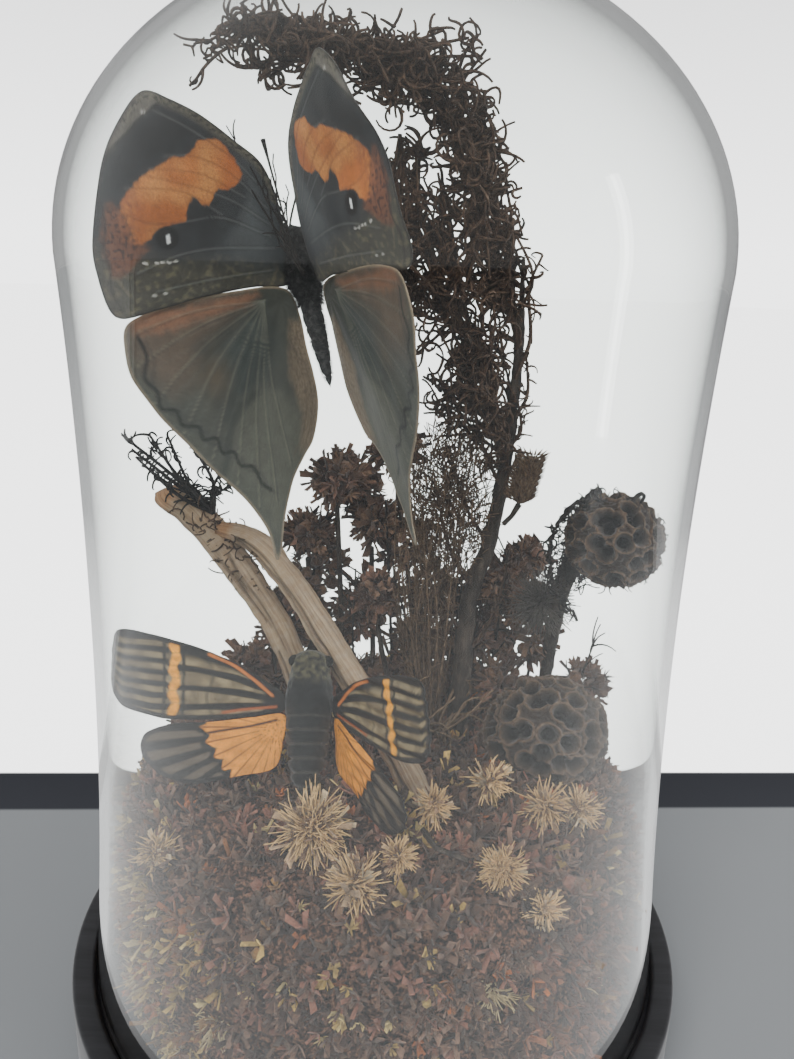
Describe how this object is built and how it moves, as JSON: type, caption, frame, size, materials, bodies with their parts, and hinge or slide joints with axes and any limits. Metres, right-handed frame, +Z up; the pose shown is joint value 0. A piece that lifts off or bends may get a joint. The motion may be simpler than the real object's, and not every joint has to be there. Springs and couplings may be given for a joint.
{
  "type": "insect in glass dome",
  "caption": "A mounted leaf butterfly and a striped-wing cicada among driftwood, curly twigs, seed heads and dried flowers, under a glass dome on a black wooden base.",
  "frame": {"origin": "centre of the underside of the base", "axes": "+Z up, -Y is the front, where both insects show their backs, +X to the right seen from the front"},
  "size_m": [0.171, 0.171, 0.2654],
  "materials": {
    "black_wood": "satin black paint on turned wood",
    "clear_glass": "clear blown glass with a faint green edge",
    "red_brown_florets": "dry, matt, crumbly",
    "weathered_driftwood": "bare, bleached, fine cracks along the grain",
    "dark_bark": "dull bark",
    "seed_head": "dull, with pale cell rims",
    "black_wiry_twig": "dull black",
    "curly_twig": "dull dark brown",
    "brown_fibre": "dull brown",
    "brown_bloom": "dry and papery",
    "straw_bloom": "dry, pale, bristly",
    "leaf_wing": "fine scales with a soft sheen",
    "striped_wing": "thin membrane with dark veins",
    "dark_fur": "short dark hair",
    "dark_shell": "black satin insect shell"
  },
  "bodies": {
    "root": {"base": "black_wood", "glass_dome": "clear_glass", "flower_mound": "red_brown_florets", "driftwood_main": "weathered_driftwood", "driftwood_prong": "weathered_driftwood", "woody_stem": "dark_bark", "honeycomb_head_upper": "seed_head", "honeycomb_head_lower": "seed_head", "honeycomb_stem": "dark_bark", "wiry_tendril": "black_wiry_twig", "thistle_head": "brown_bloom", "thistle_twig": "dark_bark", "back_bloom_1": "brown_bloom", "back_bloom_stem_1": "dark_bark", "back_bloom_2": "brown_bloom", "back_bloom_stem_2": "dark_bark", "back_bloom_3": "brown_bloom", "back_bloom_stem_3": "dark_bark", "back_bloom_4": "brown_bloom", "back_bloom_stem_4": "dark_bark", "back_bloom_5": "brown_bloom", "back_bloom_stem_5": "dark_bark", "back_bloom_6": "brown_bloom", "back_bloom_stem_6": "dark_bark", "back_bloom_7": "brown_bloom", "back_bloom_stem_7": "dark_bark", "straw_bloom_1": "straw_bloom", "straw_bloom_2": "straw_bloom", "straw_bloom_3": "straw_bloom", "straw_bloom_4": "straw_bloom", "straw_bloom_5": "straw_bloom", "straw_bloom_6": "straw_bloom", "straw_bloom_7": "straw_bloom", "straw_bloom_8": "straw_bloom", "straw_bloom_9": "straw_bloom", "straw_bloom_10": "straw_bloom", "straw_twig": "dark_bark", "crown_bough_low": "curly_twig", "crown_bough_right": "curly_twig", "crown_bough_middle": "curly_twig", "crown_bough_top": "curly_twig", "crown_bough_tip": "curly_twig", "fibre_tuft": "brown_fibre", "wiry_fan": "black_wiry_twig", "butterfly_body": "dark_fur", "butterfly_forewing_left": "leaf_wing", "butterfly_hindwing_left": "leaf_wing", "butterfly_antenna_left": "dark_fur", "cicada_forewing_left": "striped_wing", "cicada_hindwing_left": "striped_wing", "butterfly_forewing_right": "leaf_wing", "butterfly_hindwing_right": "leaf_wing", "butterfly_antenna_right": "dark_fur", "cicada_forewing_right": "striped_wing", "cicada_hindwing_right": "striped_wing", "cicada_body": "dark_shell"}
  },
  "joints": []
}
